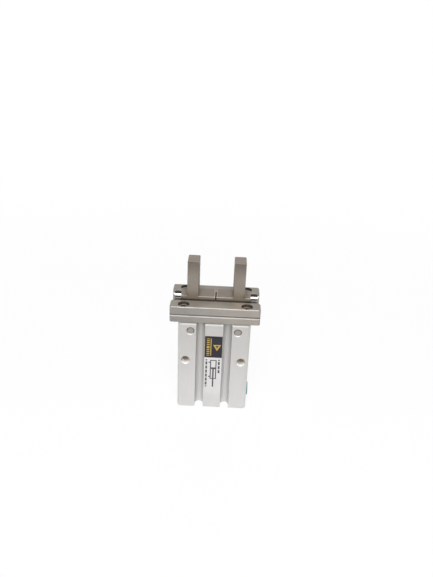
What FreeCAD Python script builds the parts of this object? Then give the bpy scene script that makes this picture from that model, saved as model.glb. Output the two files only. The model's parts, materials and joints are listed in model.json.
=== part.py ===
import FreeCAD, Part
import os
import re
import Sketcher

# Pneumatic parallel gripper with a 16 mm bore, standing on its bottom face.
# X runs along the finger travel, Y through the body from front to rear, Z up along the piston.
# The origin is the middle of the bottom face. Every piece is drawn with the fingers closed.

# driving dimensions in mm
SIZES = {
    # body: one extrusion with two switch slots in the front and two in the rear
    "body_width": 30.6,
    "body_depth": 23.6,
    "body_height": 42.5,
    "body_corner": 1.5,
    "body_chamfer": 0.4,
    "slot_width": 3.7,
    "slot_offset": 5.7,
    "slot_wall": 0.9,
    "slot_lip": 0.12,
    # bore, and the recess and ring groove at its lower end
    "bore_diameter": 16.0,
    "recess_step": 0.5,
    "recess_depth": 1.5,
    "ring_lip": 0.5,
    "ring_thickness": 1.0,
    "ring_width": 1.7,
    "ring_ear": 3.0,
    "ring_ear_hole": 1.2,
    "ring_mouth": 2.0,
    # end cap with its seal and bumper
    "cap_thickness": 3.0,
    "cap_dimple": 3.0,
    "cap_dimple_depth": 0.8,
    "cap_ring_section": 1.2,
    "cap_bumper_diameter": 10.0,
    "cap_bumper_height": 2.0,
    # piston, its rings and its rod
    "piston_gap": 0.1,
    "piston_land": 0.7,
    "piston_groove": 1.6,
    "wear_height": 1.4,
    "magnet_height": 2.0,
    "magnet_gap": 0.2,
    "lip_height": 1.6,
    "rod_diameter": 6.0,
    "rod_bumper_width": 2.4,
    "rod_bumper_height": 1.4,
    "stop_gap": 0.25,
    # rod gland in the bulkhead
    "gland_width": 2.0,
    "retainer_thickness": 0.6,
    "retainer_gap": 0.15,
    "rod_seal_height": 2.4,
    "bush_wall": 1.0,
    # air ports in the right side and the dust plugs that close them
    "port_offset": 5.6,
    "port_diameter": 4.2,
    "port_thread": 4.0,
    "port_mouth": 5.4,
    "port_mouth_depth": 0.8,
    "port_passage": 1.6,
    "plug_flange": 6.1,
    "plug_height": 0.6,
    "plug_dish": 3.6,
    "plug_dish_depth": 0.2,
    # fastening holes of the body
    "mount_diameter": 3.4,
    "mount_edge": 3.3,
    "mount_height": 24.5,
    "mount_depth": 8.0,
    "mouth_chamfer": 0.45,
    # guide rail and its screws
    "guide_width": 38.0,
    "guide_depth": 22.0,
    "guide_height": 7.4,
    "guide_floor": 2.5,
    "guide_corner": 0.8,
    "guide_edge": 0.28,
    "guide_foot": 0.4,
    "guide_mouth": 1.0,
    "channel_edge": 0.12,
    "line_drop": 3.95,
    "line_width": 1.05,
    "relief_drop": 3.55,
    "relief_width": 0.6,
    "screw_edge_x": 2.0,
    "screw_edge_y": 2.9,
    "screw_diameter": 2.5,
    "screw_length": 10.0,
    "screw_head": 4.5,
    "screw_head_height": 2.5,
    "screw_recess": 0.9,
    "screw_head_gap": 0.2,
    "screw_socket": 2.0,
    "screw_socket_depth": 1.2,
    # crossed rollers between the guide and each finger
    "roller_diameter": 1.6,
    "roller_pitch": 1.74,
    "roller_end_gap": 0.1,
    "race_drop": 1.6,
    "race_gap": 0.02,
    "stop_diameter": 1.0,
    "stop_inset": 0.7,
    "stop_reach": 0.4,
    "stop_play": 0.1,
    # fingers
    "finger_travel": 3.2,
    "closed_gap": 14.5,
    "finger_thickness": 5.0,
    "finger_width": 8.0,
    "finger_length": 15.6,
    "finger_corner": 0.5,
    "finger_edge": 0.25,
    "finger_root": 0.7,
    "finger_hole": 2.5,
    "finger_hole_drop": 4.0,
    "finger_hole_pitch": 7.0,
    "base_length": 14.6,
    "base_gap": 0.5,
    "base_rise": 1.8,
    "base_lift": 0.3,
    "side_gap": 0.5,
    "tip_rise": 1.7,
    # levers, their shafts and the joint on the piston rod
    "upper_arm": 7.9,
    "inner_arm": 5.6,
    "arm_root": 3.2,
    "arm_neck": 1.8,
    "tip_diameter": 3.0,
    "lever_width": 4.0,
    "boss_diameter": 6.0,
    "boss_width": 7.0,
    "shaft_diameter": 3.0,
    "shaft_recess": 0.3,
    "joint_web": 5.4,
    "joint_flange": 1.8,
    "joint_lip": 1.2,
    "joint_depth": 6.0,
    "joint_screw_diameter": 3.0,
    "joint_screw_grip": 6.0,
    "joint_screw_head": 4.6,
    "joint_screw_head_height": 1.4,
    "joint_screw_socket": 2.0,
    # blank label on the middle rib
    "label_height": 29.8,
    "label_bottom": 7.2,
    "label_thickness": 0.1,
    # clearances: seated, running, sliding tip, and free room
    "fit_gap": 0.02,
    "run_gap": 0.03,
    "tip_gap": 0.05,
    "hole_gap": 0.1,
    "free_gap": 0.2,
    "chamber_gap": 0.5,
    "chamber_drop": 2.0,
}

doc = FreeCAD.newDocument("parallel_gripper")
sheet = doc.addObject("Spreadsheet::Sheet", "Sizes")
for row, (alias, value) in enumerate(SIZES.items(), start=1):
    sheet.set(f"A{row}", alias)
    sheet.set(f"B{row}", str(value))
    sheet.setAlias(f"B{row}", alias)
doc.recompute()
# lengths closer than this count as equal
SAME = 1e-4
derived = {}
nodes = []


def ex(text):
    """Expression text with each alias given its sheet name and each derived length written out."""
    def word(match):
        name = match.group(0)
        if name in derived:
            return f"({derived[name]})"
        if name in SIZES:
            return f"Sizes.{name}"
        return name
    return re.sub(r"[a-z_]+", word, text)


def derive(name, text):
    """Name a length that follows from the driving dimensions."""
    derived[name] = ex(text)


def num(text):
    """Value of an expression at the present sizes."""
    return float(sheet.evalExpression(ex(text)))


# heights of the finger drive, from the guide down to the piston rod
derive("guide_top", "body_height + guide_height")
derive("channel_floor", "body_height + guide_floor")
derive("base_bottom", "channel_floor + base_lift")
derive("base_top", "guide_top + base_rise")
derive("finger_top", "base_top + finger_length")
derive("race_z", "guide_top - race_drop")
derive("line_z", "guide_top - line_drop")
derive("relief_z", "guide_top - relief_drop")
derive("pivot_z", "base_bottom + tip_rise - upper_arm")
derive("pivot_x", "joint_web / 2 + free_gap + tip_diameter / 2 + inner_arm")
derive("half_swing", "asin(finger_travel / 2 / upper_arm)")
derive("piston_stroke", "inner_arm * finger_travel / upper_arm")
derive("joint_groove", "tip_diameter / 2 + tip_gap")
derive("joint_mid", "pivot_z - piston_stroke / 2")
derive("joint_bottom", "joint_mid - joint_groove - joint_flange")
derive("joint_top", "joint_mid + joint_groove + joint_flange")
derive("chamber_floor", "joint_bottom - chamber_drop")
derive("chamber_half", "pivot_x + boss_diameter / 2 + chamber_gap")
derive("chamber_side", "boss_width / 2 + hole_gap")

# heights of the cylinder, from the bottom face up to the bulkhead
derive("bore_radius", "bore_diameter / 2")
derive("recess_radius", "bore_radius + recess_step")
derive("groove_bottom", "recess_depth + ring_lip")
derive("cap_bottom", "groove_bottom + ring_thickness")
derive("cap_top", "cap_bottom + cap_thickness")
derive("piston_height", "4 * piston_land + wear_height + magnet_height + lip_height")
derive("piston_bottom", "cap_top + cap_bumper_height + stop_gap")
derive("piston_top", "piston_bottom + piston_height")
derive("bulkhead", "piston_top + rod_bumper_height + piston_stroke + stop_gap")
derive("rod_radius", "rod_diameter / 2")
derive("gland_radius", "rod_radius + gland_width")
derive("seal_bottom", "bulkhead + retainer_thickness + fit_gap")
derive("gland_top", "seal_bottom + rod_seal_height + fit_gap")
derive("bush_radius", "rod_radius + bush_wall")
derive("lower_port_z", "(cap_top + piston_bottom) / 2")
derive("upper_port_z", "bulkhead - (rod_bumper_height + stop_gap) / 2")

# places across the guide
derive("channel_half", "finger_width / 2 + side_gap")
derive("race_y", "finger_width / 2 + side_gap / 2")
derive("race_half", "(roller_diameter / 2 + race_gap) * sqrt(2) - side_gap / 2")
derive("roller_length", "roller_diameter - roller_end_gap")
derive("screw_x", "body_width / 2 - screw_edge_x")
derive("screw_y", "guide_depth / 2 - screw_edge_y")
derive("screw_seat", "guide_top - screw_recess - screw_head_height")
derive("mount_x", "body_width / 2 - mount_edge")


def plane(body, role):
    """One of the body's own origin planes."""
    return [feature for feature in body.Origin.OriginFeatures if feature.Role == role][0]


def new_body(label):
    """Empty body that becomes the node of that name."""
    body = doc.addObject("PartDesign::Body", label)
    body.Label = label
    nodes.append(body)
    return body


def sketch(body, role, offset="0"):
    """Sketch on an origin plane of the body, moved along the plane's normal by the offset."""
    made = body.newObject("Sketcher::SketchObject", f"{body.Name}_sketch")
    made.AttachmentSupport = [(plane(body, role), "")]
    made.MapMode = "FlatFace"
    made.setExpression("AttachmentOffset.Base.z", ex(offset))
    return made


def bind(made, kind, geometry, point, text):
    """Dimension from the sketch origin to a point, driven by an expression."""
    index = made.addConstraint(Sketcher.Constraint(kind, -1, 1, geometry, point, num(text)))
    made.setExpression(f"Constraints[{index}]", ex(text))


def outline(made, corners, arcs=None):
    """Closed outline through the corners; arcs maps a side to its centre and turning sense."""
    arcs = arcs or {}
    count = len(corners)
    first = made.GeometryCount
    places = [FreeCAD.Vector(num(x), num(y), 0) for x, y in corners]
    starts = []
    ends = []
    for side in range(count):
        here = places[side]
        there = places[(side + 1) % count]
        forward = True
        if side in arcs:
            x, y, forward = arcs[side]
            centre = FreeCAD.Vector(num(x), num(y), 0)
            circle = Part.Circle(centre, FreeCAD.Vector(0, 0, 1), (here - centre).Length)
            begin = here if forward else there
            finish = there if forward else here
            arc = Part.ArcOfCircle(circle, circle.parameter(begin), circle.parameter(finish))
            made.addGeometry(arc, False)
        else:
            made.addGeometry(Part.LineSegment(here, there), False)
        starts.append((first + side, 1 if forward else 2))
        ends.append((first + side, 2 if forward else 1))
    for side in range(count):
        made.addConstraint(Sketcher.Constraint("Coincident", *ends[side], *starts[(side + 1) % count]))
    for side, (x, y) in enumerate(corners):
        bind(made, "DistanceX", *starts[side], x)
        bind(made, "DistanceY", *starts[side], y)
    for side, (x, y, forward) in arcs.items():
        chord = places[(side + 1) % count] - places[side]
        if abs(chord.x) > abs(chord.y):
            bind(made, "DistanceY", first + side, 3, y)
        else:
            bind(made, "DistanceX", first + side, 3, x)


def box(made, left, right, low, high):
    """Closed rectangle."""
    outline(made, [(left, low), (right, low), (right, high), (left, high)])


def circles(made, centres, diameter):
    """Equal circles round the given centres."""
    for x, y in centres:
        place = FreeCAD.Vector(num(x), num(y), 0)
        index = made.addGeometry(Part.Circle(place, FreeCAD.Vector(0, 0, 1), num(diameter) / 2), False)
        bind(made, "DistanceX", index, 3, x)
        bind(made, "DistanceY", index, 3, y)
        width = made.addConstraint(Sketcher.Constraint("Diameter", index, num(diameter)))
        made.setExpression(f"Constraints[{width}]", ex(diameter))


def extrude(body, made, kind, length, symmetric=False, backward=False):
    """Pad or Pocket of a sketch over an expression's length."""
    feature = body.newObject(f"PartDesign::{kind}", f"{body.Name}_{kind.lower()}")
    feature.Profile = made
    feature.setExpression("Length", ex(length))
    if symmetric:
        feature.SideType = "Symmetric"
    feature.Reversed = backward
    made.Visibility = False
    doc.recompute()
    return feature


def pad(body, made, length, symmetric=False, backward=False):
    """Add the sketch's area over a length."""
    return extrude(body, made, "Pad", length, symmetric, backward)


def pocket(body, made, length, symmetric=False, backward=False):
    """Cut the sketch's area over a length."""
    return extrude(body, made, "Pocket", length, symmetric, backward)


def spin(body, kind, corners, arcs=None):
    """Revolution or Groove of a (radius, height) outline about the body's Z axis."""
    made = sketch(body, "XZ_Plane")
    outline(made, corners, arcs)
    feature = body.newObject(f"PartDesign::{kind}", f"{body.Name}_{kind.lower()}")
    feature.Profile = made
    feature.ReferenceAxis = (made, ["V_Axis"])
    feature.Angle = 360
    made.Visibility = False
    doc.recompute()
    return feature


def ease(body, kind, amount, chosen):
    """Fillet or Chamfer on the edges of the body's tip that the test picks."""
    tip = body.Tip
    names = [f"Edge{index + 1}" for index, edge in enumerate(tip.Shape.Edges) if chosen(edge)]
    feature = body.newObject(f"PartDesign::{kind}", f"{body.Name}_{kind.lower()}")
    feature.Base = (tip, names)
    feature.setExpression("Radius" if kind == "Fillet" else "Size", ex(amount))
    doc.recompute()
    return feature


def near(value, text):
    """Whether a number equals an expression's value."""
    return abs(value - num(text)) < SAME


def upright_edge(edge):
    """Whether an edge is straight and runs along Z."""
    bounds = edge.BoundBox
    return bounds.XLength < SAME and bounds.YLength < SAME < bounds.ZLength


def at_height(edge, text):
    """Whether a whole edge lies at one height."""
    return near(edge.BoundBox.ZMin, text) and near(edge.BoundBox.ZMax, text)


def mouth_edge(edge, diameter):
    """Whether an edge is the full circle of a hole's mouth on the front or rear face."""
    if edge.Curve.TypeId != "Part::GeomCircle" or not near(edge.Curve.Radius * 2, diameter):
        return False
    return edge.BoundBox.YLength < SAME and near(abs(edge.CenterOfMass.y), "body_depth / 2")


def place(item, x="0", y="0", z="0"):
    """Drive a piece's position by expressions."""
    item.setExpression("Placement.Base.x", ex(x))
    item.setExpression("Placement.Base.y", ex(y))
    item.setExpression("Placement.Base.z", ex(z))


def tilt(item, axis, angle):
    """Turn a piece about an axis through its own origin."""
    rotation = FreeCAD.Rotation(FreeCAD.Vector(*axis), angle)
    item.Placement = FreeCAD.Placement(FreeCAD.Vector(0, 0, 0), rotation)


def rod(name, diameter, height):
    """Part::Cylinder along its own Z axis."""
    made = doc.addObject("Part::Cylinder", name)
    made.setExpression("Radius", ex(f"({diameter}) / 2"))
    made.setExpression("Height", ex(height))
    return made


def group(label, members):
    """One node that holds several equal solids."""
    made = doc.addObject("Part::Compound", label)
    made.Label = label
    made.Links = members
    nodes.append(made)
    return made


def both(text, side):
    """An expression with the sign of its side."""
    return text if side > 0 else f"-({text})"


CORNERS = [(1, 1), (-1, 1), (-1, -1), (1, -1)]
SIDES = {"left": -1, "right": 1}

# cylinder body: extruded block with switch slots, stepped bore, lever chamber and all its holes
body = new_body("cylinder_body")
plan = sketch(body, "XY_Plane")
box(plan, "-body_width / 2", "body_width / 2", "-body_depth / 2", "body_depth / 2")
pad(body, plan, "body_height")
ease(body, "Fillet", "body_corner", upright_edge)
ease(body, "Chamfer", "body_chamfer", lambda edge: at_height(edge, "0") or at_height(edge, "body_height"))
derive("slot_centre", "sqrt((bore_radius + slot_wall + slot_width / 2)^2 - slot_offset^2)")
slots = sketch(body, "XY_Plane", "body_height")
for across, along in CORNERS:
    middle = both("slot_offset", across)
    depth = both("slot_centre", along)
    out = both("body_depth", along)
    corners = [
        (f"{middle} - slot_width / 2", out),
        (f"{middle} - slot_width / 2", depth),
        (f"{middle} + slot_width / 2", depth),
        (f"{middle} + slot_width / 2", out),
    ]
    outline(slots, corners, {1: (middle, depth, along > 0)})
pocket(body, slots, "body_height")


def slot_lip_edge(edge):
    """Whether an edge is where a slot's side meets the front or rear face."""
    if not upright_edge(edge) or not near(abs(edge.CenterOfMass.y), "body_depth / 2"):
        return False
    across = abs(edge.CenterOfMass.x)
    return near(across, "slot_offset - slot_width / 2") or near(across, "slot_offset + slot_width / 2")


ease(body, "Fillet", "slot_lip", slot_lip_edge)
spin(body, "Groove", [
    ("0", "-recess_depth"),
    ("recess_radius", "-recess_depth"),
    ("recess_radius", "recess_depth"),
    ("bore_radius", "recess_depth"),
    ("bore_radius", "groove_bottom"),
    ("recess_radius", "groove_bottom"),
    ("recess_radius", "cap_bottom"),
    ("bore_radius", "cap_bottom"),
    ("bore_radius", "bulkhead"),
    ("gland_radius", "bulkhead"),
    ("gland_radius", "gland_top"),
    ("bush_radius + fit_gap", "gland_top"),
    ("bush_radius + fit_gap", "chamber_floor + chamber_drop / 2"),
    ("0", "chamber_floor + chamber_drop / 2"),
])
chamber = sketch(body, "XY_Plane", "body_height")
box(chamber, "-chamber_half", "chamber_half", "-chamber_side", "chamber_side")
pocket(body, chamber, "body_height - chamber_floor")
shafts = sketch(body, "XZ_Plane")
circles(shafts, [("pivot_x", "pivot_z"), ("-pivot_x", "pivot_z")], "shaft_diameter + 2 * fit_gap")
pocket(body, shafts, "body_depth * 2", symmetric=True)
sides = sketch(body, "XZ_Plane")
circles(sides, [("mount_x", "mount_height"), ("-mount_x", "mount_height")], "mount_diameter")
pocket(body, sides, "body_depth * 2", symmetric=True)
feet = sketch(body, "XY_Plane")
circles(feet, [("mount_x", "0"), ("-mount_x", "0")], "mount_diameter")
pocket(body, feet, "mount_depth", backward=True)
taps = sketch(body, "XY_Plane", "body_height")
circles(taps, [(both("screw_x", x), both("screw_y", y)) for x, y in CORNERS], "screw_diameter + 2 * fit_gap")
pocket(body, taps, "screw_length - (screw_seat - body_height) + chamber_gap")
PORTS = {"lower": ("-port_offset", "lower_port_z"), "upper": ("port_offset", "upper_port_z")}
for width, depth in [
    ("port_mouth", "port_mouth_depth"),
    ("port_diameter", "port_mouth_depth + port_thread"),
    ("port_passage", "body_width / 2 - bore_radius / 2"),
]:
    ports = sketch(body, "YZ_Plane", "body_width / 2")
    circles(ports, list(PORTS.values()), width)
    pocket(body, ports, depth)
ease(body, "Chamfer", "mouth_chamfer", lambda edge: mouth_edge(edge, "mount_diameter"))
ease(body, "Chamfer", "shaft_recess", lambda edge: mouth_edge(edge, "shaft_diameter + 2 * fit_gap"))

# guide rail: steel channel screwed to the top of the body, with a V raceway and a relief line in each wall
guide = new_body("guide_rail")
plan = sketch(guide, "XY_Plane", "body_height")
box(plan, "-guide_width / 2", "guide_width / 2", "-guide_depth / 2", "guide_depth / 2")
pad(guide, plan, "guide_height")
ease(guide, "Fillet", "guide_corner", upright_edge)
ease(guide, "Chamfer", "guide_edge", lambda edge: at_height(edge, "guide_top"))
ease(guide, "Chamfer", "guide_foot", lambda edge: at_height(edge, "body_height"))
channel = sketch(guide, "YZ_Plane")
wall = [
    ("channel_half", "channel_floor"),
    ("channel_half", "relief_z - relief_width / 2"),
    ("channel_half + relief_width / 2", "relief_z"),
    ("channel_half", "relief_z + relief_width / 2"),
    ("channel_half", "race_z - race_half"),
    ("channel_half + race_half", "race_z"),
    ("channel_half", "race_z + race_half"),
    ("channel_half", "guide_top - channel_edge"),
    ("channel_half + 2 * channel_edge", "guide_top + channel_edge"),
]
outline(channel, wall + [(f"-({y})", z) for y, z in reversed(wall)])
pocket(guide, channel, "guide_width * 2", symmetric=True)
line = sketch(guide, "YZ_Plane")
for along in (-1, 1):
    outline(line, [
        (both("guide_depth / 2 + line_width / 2", along), "line_z - line_width"),
        (both("guide_depth / 2 - line_width / 2", along), "line_z"),
        (both("guide_depth / 2 + line_width / 2", along), "line_z + line_width"),
    ])
pocket(guide, line, "guide_width * 2", symmetric=True)
floor = sketch(guide, "XY_Plane", "guide_top")
box(floor, "-chamber_half", "chamber_half", "-chamber_side", "chamber_side")
pocket(guide, floor, "guide_height * 2")
mouths = sketch(guide, "XY_Plane", "guide_top")
for across, along in CORNERS:
    outer = both("guide_width / 2 + guide_mouth / 2", across)
    inner = both("guide_width / 2 - guide_mouth * 3 / 2", across)
    outline(mouths, [
        (outer, both("channel_half - guide_mouth / 2", along)),
        (outer, both("channel_half + guide_mouth * 3 / 2", along)),
        (inner, both("channel_half - guide_mouth / 2", along)),
    ])
pocket(guide, mouths, "guide_height - guide_floor")
for width, depth in [
    ("screw_head + 2 * screw_head_gap", "guide_top - screw_seat"),
    ("screw_diameter + 2 * hole_gap", "guide_height * 2"),
]:
    seats = sketch(guide, "XY_Plane", "guide_top")
    circles(seats, [(both("screw_x", x), both("screw_y", y)) for x, y in CORNERS], width)
    pocket(guide, seats, depth)

# guide screws: four socket-head screws sunk in the guide and threaded into the body
screws = []
for index, (across, along) in enumerate(CORNERS):
    shank = rod(f"screw_shank_{index}", "screw_diameter", "screw_length")
    place(shank, both("screw_x", across), both("screw_y", along), "screw_seat - screw_length")
    head = rod(f"screw_head_{index}", "screw_head", "screw_head_height")
    place(head, both("screw_x", across), both("screw_y", along), "screw_seat")
    whole = doc.addObject("Part::Fuse", f"screw_whole_{index}")
    whole.Base = head
    whole.Tool = shank
    key = doc.addObject("Part::Prism", f"screw_key_{index}")
    key.Polygon = 6
    key.setExpression("Circumradius", ex("screw_socket / sqrt(3)"))
    key.setExpression("Height", ex("screw_socket_depth * 2"))
    place(key, both("screw_x", across), both("screw_y", along),
          "screw_seat + screw_head_height - screw_socket_depth")
    screw = doc.addObject("Part::Cut", f"screw_{index}")
    screw.Base = whole
    screw.Tool = key
    screws.append(screw)
group("guide_screws", screws)

# retaining ring: spring-steel ring with two eared ends in the groove under the end cap
ring = new_body("retaining_ring")
loop = sketch(ring, "XY_Plane", "groove_bottom + fit_gap")
circles(loop, [("0", "0")], "2 * (recess_radius - fit_gap)")
circles(loop, [("0", "0")], "2 * (recess_radius - ring_width)")
pad(ring, loop, "ring_thickness - 2 * fit_gap")
derive("ear_x", "ring_mouth / 2 + ring_ear / 2")
derive("ear_y", "recess_radius - ring_width / 2 - ring_ear / 2")
ears = sketch(ring, "XY_Plane", "groove_bottom + fit_gap")
circles(ears, [("ear_x", "-ear_y"), ("-ear_x", "-ear_y")], "ring_ear")
pad(ring, ears, "ring_thickness - 2 * fit_gap")
holes = sketch(ring, "XY_Plane", "cap_bottom")
circles(holes, [("ear_x", "-ear_y"), ("-ear_x", "-ear_y")], "ring_ear_hole")
box(holes, "-ring_mouth / 2", "ring_mouth / 2", "-recess_radius * 2", "-recess_radius / 2")
pocket(ring, holes, "ring_thickness * 2")

# end cap: turned plug that closes the bore, with a groove for its seal
cap = new_body("end_cap")
derive("cap_radius", "bore_radius - fit_gap")
derive("cap_groove_radius", "cap_radius - cap_ring_section - tip_gap")
derive("cap_groove_z", "cap_bottom + cap_thickness / 2")
spin(cap, "Revolution", [
    ("0", "cap_bottom + cap_dimple_depth"),
    ("cap_dimple / 2", "cap_bottom + cap_dimple_depth"),
    ("cap_dimple / 2", "cap_bottom"),
    ("cap_radius", "cap_bottom"),
    ("cap_radius", "cap_groove_z - cap_ring_section / 2 - hole_gap"),
    ("cap_groove_radius", "cap_groove_z - cap_ring_section / 2 - hole_gap"),
    ("cap_groove_radius", "cap_groove_z + cap_ring_section / 2 + hole_gap"),
    ("cap_radius", "cap_groove_z + cap_ring_section / 2 + hole_gap"),
    ("cap_radius", "cap_top"),
    ("0", "cap_top"),
])

# end cap seal: rubber ring in the cap's groove
cap_seal = doc.addObject("Part::Torus", "end_cap_seal")
cap_seal.Label = "end_cap_seal"
cap_seal.setExpression("Radius1", ex("cap_radius - cap_ring_section / 2"))
cap_seal.setExpression("Radius2", ex("cap_ring_section / 2"))
place(cap_seal, z="cap_groove_z")
nodes.append(cap_seal)

# cap bumper: rubber disc on the cap that stops the piston at the closed end
cap_bumper = rod("cap_bumper", "cap_bumper_diameter", "cap_bumper_height")
cap_bumper.Label = "cap_bumper"
place(cap_bumper, z="cap_top")
nodes.append(cap_bumper)

# piston and rod in one turned piece, with three ring grooves and a tapped hole in the rod's end
derive("piston_radius", "bore_radius - piston_gap")
derive("piston_neck", "piston_radius - piston_groove")
derive("wear_bottom", "piston_bottom + piston_land")
derive("magnet_bottom", "wear_bottom + wear_height + piston_land")
derive("lip_bottom", "magnet_bottom + magnet_height + piston_land")
derive("tap_radius", "joint_screw_diameter / 2 + fit_gap")
profile = [("0", "piston_bottom"), ("piston_radius", "piston_bottom")]
for ring_name in ("wear", "magnet", "lip"):
    low = f"{ring_name}_bottom"
    height = f"{ring_name}_height"
    profile.append(("piston_radius", low))
    profile.append(("piston_neck", low))
    profile.append(("piston_neck", f"{low} + {height}"))
    profile.append(("piston_radius", f"{low} + {height}"))
profile.extend([
    ("piston_radius", "piston_top"),
    ("rod_radius", "piston_top"),
    ("rod_radius", "joint_bottom"),
    ("tap_radius", "joint_bottom"),
    ("tap_radius", "joint_bottom - joint_screw_grip - chamber_gap"),
    ("0", "joint_bottom - joint_screw_grip - chamber_gap"),
])
spin(new_body("piston_rod"), "Revolution", profile)


def hoop(label, inner, outer, low, high):
    """Turned ring of plain rectangular section."""
    made = new_body(label)
    spin(made, "Revolution", [(inner, low), (outer, low), (outer, high), (inner, high)])
    return made


# piston wear ring, magnet ring and rod-side bumper
hoop("piston_wear_ring", "piston_neck + fit_gap", "bore_radius - run_gap",
     "wear_bottom + fit_gap", "wear_bottom + wear_height - fit_gap")
hoop("piston_magnet", "piston_neck + fit_gap", "piston_radius - magnet_gap",
     "magnet_bottom + fit_gap", "magnet_bottom + magnet_height - fit_gap")
hoop("rod_bumper", "rod_radius + fit_gap", "rod_radius + rod_bumper_width",
     "piston_top", "piston_top + rod_bumper_height")


def lip_ring(label, inner, outer, low, high):
    """Turned rubber ring with a notch between two lips on its lower, pressure side."""
    made = new_body(label)
    middle = f"(({inner}) + ({outer})) / 2"
    notch = f"(({outer}) - ({inner})) / 5"
    spin(made, "Revolution", [
        (inner, low),
        (f"{middle} - {notch}", low),
        (middle, f"({low}) + (({high}) - ({low})) / 3"),
        (f"{middle} + {notch}", low),
        (outer, low),
        (outer, high),
        (inner, high),
    ])
    return made


# piston seal and rod seal
lip_ring("piston_seal", "piston_neck + fit_gap", "bore_radius - run_gap",
         "lip_bottom + fit_gap", "lip_bottom + lip_height - fit_gap")
lip_ring("rod_seal", "rod_radius + run_gap", "gland_radius - fit_gap",
         "seal_bottom", "seal_bottom + rod_seal_height")

# rod seal retainer pressed in the mouth of the gland, and the bush that carries the rod above it
hoop("rod_seal_retainer", "rod_radius + retainer_gap", "gland_radius - fit_gap",
     "bulkhead", "bulkhead + retainer_thickness")
hoop("rod_bush", "rod_radius + run_gap", "bush_radius", "gland_top + fit_gap", "chamber_floor")

# rod joint: grooved block on the rod's end, whose two slots take the levers' inner tips
joint = new_body("rod_joint")
place(joint, z="joint_mid")
derive("joint_half", "joint_groove + joint_flange")
derive("joint_reach", "pivot_x - inner_arm + joint_lip")
quarter = [
    ("joint_reach", "-joint_half"),
    ("joint_reach", "-joint_groove"),
    ("joint_web / 2", "-joint_groove"),
    ("joint_web / 2", "joint_groove"),
    ("joint_reach", "joint_groove"),
    ("joint_reach", "joint_half"),
]
front = sketch(joint, "XZ_Plane")
outline(front, quarter + [(f"-({x})", z) for x, z in reversed(quarter)])
pad(joint, front, "joint_depth", symmetric=True)
for width, depth in [
    ("joint_screw_head + 2 * hole_gap", "joint_screw_head_height + hole_gap"),
    ("joint_screw_diameter + 2 * hole_gap", "joint_half * 3"),
]:
    bores = sketch(joint, "XY_Plane", "joint_half")
    circles(bores, [("0", "0")], width)
    pocket(joint, bores, depth)

# joint screw: low-head screw through the joint into the rod
derive("joint_seat", "joint_top - joint_screw_head_height - hole_gap")
screw = new_body("joint_screw")
spin(screw, "Revolution", [
    ("0", "joint_bottom - joint_screw_grip"),
    ("joint_screw_diameter / 2", "joint_bottom - joint_screw_grip"),
    ("joint_screw_diameter / 2", "joint_seat"),
    ("joint_screw_head / 2", "joint_seat"),
    ("joint_screw_head / 2", "joint_seat + joint_screw_head_height"),
    ("joint_screw_socket / 2", "joint_seat + joint_screw_head_height"),
    ("joint_screw_socket / 2", "joint_seat + joint_screw_head_height / 2"),
    ("0", "joint_seat + joint_screw_head_height / 2"),
])

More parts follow.
